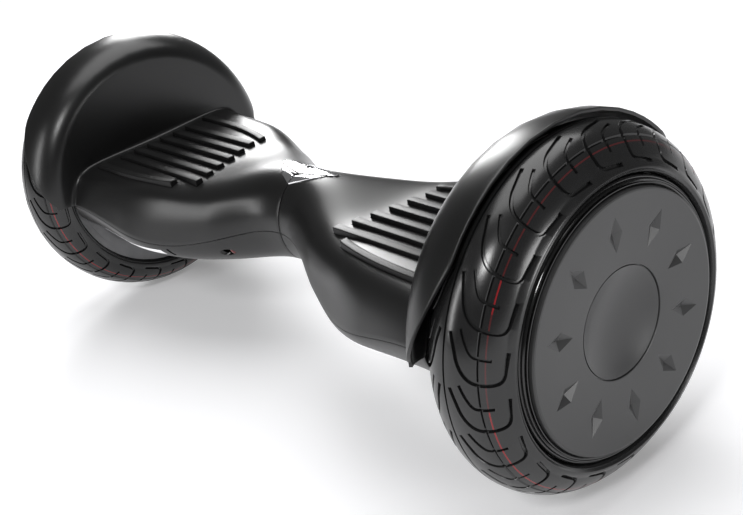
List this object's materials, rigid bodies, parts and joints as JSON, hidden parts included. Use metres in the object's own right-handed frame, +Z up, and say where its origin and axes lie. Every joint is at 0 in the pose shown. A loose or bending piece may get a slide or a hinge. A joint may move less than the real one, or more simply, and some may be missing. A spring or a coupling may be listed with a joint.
{
  "type": "self balancing hoverboard",
  "caption": "Two-wheeled self balancing board with twisting halves, ribbed foot pads, arched fenders and covered hub motor wheels.",
  "frame": {"origin": "on the ground midway between the wheels, under the axle line", "axes": "+X along the axle towards the wheel of the battery half, -Y towards the front with the power button, +Z up"},
  "size_m": [0.651, 0.2538, 0.2605],
  "materials": {
    "shell_black": "satin moulded ABS with a soft sheen",
    "pad_rubber": "glossy black moulded rubber ribs",
    "inner_rubber": "matt black rubber",
    "tyre_black": "glossy black tread with a thin red line",
    "cover_grey": "satin charcoal with diamond dimples",
    "ring_black": "polished black",
    "lens_white": "milky light bar lens",
    "trim_chrome": "mirror plated",
    "indicator_black": "smoked lens",
    "cast_aluminium": "fine sand cast",
    "steel": "turned steel",
    "screw_black": "black oxide",
    "motor_iron": "laminated core with copper coils",
    "magnet": "nickel plated",
    "board_green": "solder mask",
    "board_white": "white solder mask",
    "bush_nylon": "natural nylon",
    "battery_blue": "shrink wrap",
    "button_red": "translucent red",
    "valve_brass": "turned brass"
  },
  "bodies": {
    "left_half": {"left_upper_shell": "shell_black", "left_lower_shell": "shell_black", "left_sensor_board": "board_green", "left_light_bar": "lens_white", "left_light_board": "board_white", "left_frame": "cast_aluminium", "left_axle_clamp": "cast_aluminium", "left_clamp_screws": "screw_black", "left_motor_axle": "steel", "left_stator": "motor_iron", "left_shell_screws": "screw_black", "left_neck_trim": "trim_chrome", "left_indicator": "indicator_black", "pivot_tube": "steel", "pivot_circlip": "steel", "pivot_stop_pin": "steel", "control_board": "board_green", "power_switch": "inner_rubber", "charge_socket": "screw_black"},
    "right_half": {"right_upper_shell": "shell_black", "right_lower_shell": "shell_black", "right_sensor_board": "board_green", "right_light_bar": "lens_white", "right_light_board": "board_white", "right_frame": "cast_aluminium", "right_axle_clamp": "cast_aluminium", "right_clamp_screws": "screw_black", "right_motor_axle": "steel", "right_stator": "motor_iron", "right_shell_screws": "screw_black", "right_neck_trim": "trim_chrome", "right_indicator": "indicator_black", "pivot_bushes": "bush_nylon", "battery_pack": "battery_blue"},
    "left_wheel": {"left_bearings": "steel", "left_hub": "cast_aluminium", "left_magnet_ring": "magnet", "left_side_plate": "cast_aluminium", "left_plate_screws": "screw_black", "left_hub_cover": "cover_grey", "left_cover_ring": "ring_black", "left_tyre": "tyre_black", "left_inner_tube": "inner_rubber", "left_valve_stem": "valve_brass"},
    "right_wheel": {"right_bearings": "steel", "right_hub": "cast_aluminium", "right_magnet_ring": "magnet", "right_side_plate": "cast_aluminium", "right_plate_screws": "screw_black", "right_hub_cover": "cover_grey", "right_cover_ring": "ring_black", "right_tyre": "tyre_black", "right_inner_tube": "inner_rubber", "right_valve_stem": "valve_brass"},
    "left_pad": {"left_foot_pad": "pad_rubber", "left_pad_plungers": "inner_rubber"},
    "right_pad": {"right_foot_pad": "pad_rubber", "right_pad_plungers": "inner_rubber"},
    "power_button": {"power_button": "button_red"},
    "charge_cap": {"charge_cap": "inner_rubber"}
  },
  "joints": [
    {"name": "twist", "type": "hinge", "parent": "left_half", "child": "right_half", "pos_m": [0, 0, 0.127], "axis": [1, 0, 0], "range_deg": [-12, 12]},
    {"name": "left_wheel_spin", "type": "hinge", "parent": "left_half", "child": "left_wheel", "pos_m": [-0.288, 0, 0.127], "axis": [1, 0, 0], "continuous": true},
    {"name": "right_wheel_spin", "type": "hinge", "parent": "right_half", "child": "right_wheel", "pos_m": [0.288, 0, 0.127], "axis": [1, 0, 0], "continuous": true},
    {"name": "left_pad_press", "type": "slide", "parent": "left_half", "child": "left_pad", "axis": [0, 0, -1], "range_m": [0, 0.0015], "stiffness_N_per_m": 8000, "springref_m": -0.0006},
    {"name": "right_pad_press", "type": "slide", "parent": "right_half", "child": "right_pad", "axis": [0, 0, -1], "range_m": [0, 0.0015], "stiffness_N_per_m": 8000, "springref_m": -0.0006},
    {"name": "power_button_press", "type": "slide", "parent": "left_half", "child": "power_button", "axis": [0.3597, 0.8473, 0.3907], "range_m": [0, 0.001], "stiffness_N_per_m": 600, "springref_m": -0.0008},
    {"name": "charge_cap_lift", "type": "hinge", "parent": "left_half", "child": "charge_cap", "pos_m": [-0.15, 0.09604, 0.11239], "axis": [1, 0, 0], "range_deg": [0, 120]}
  ]
}
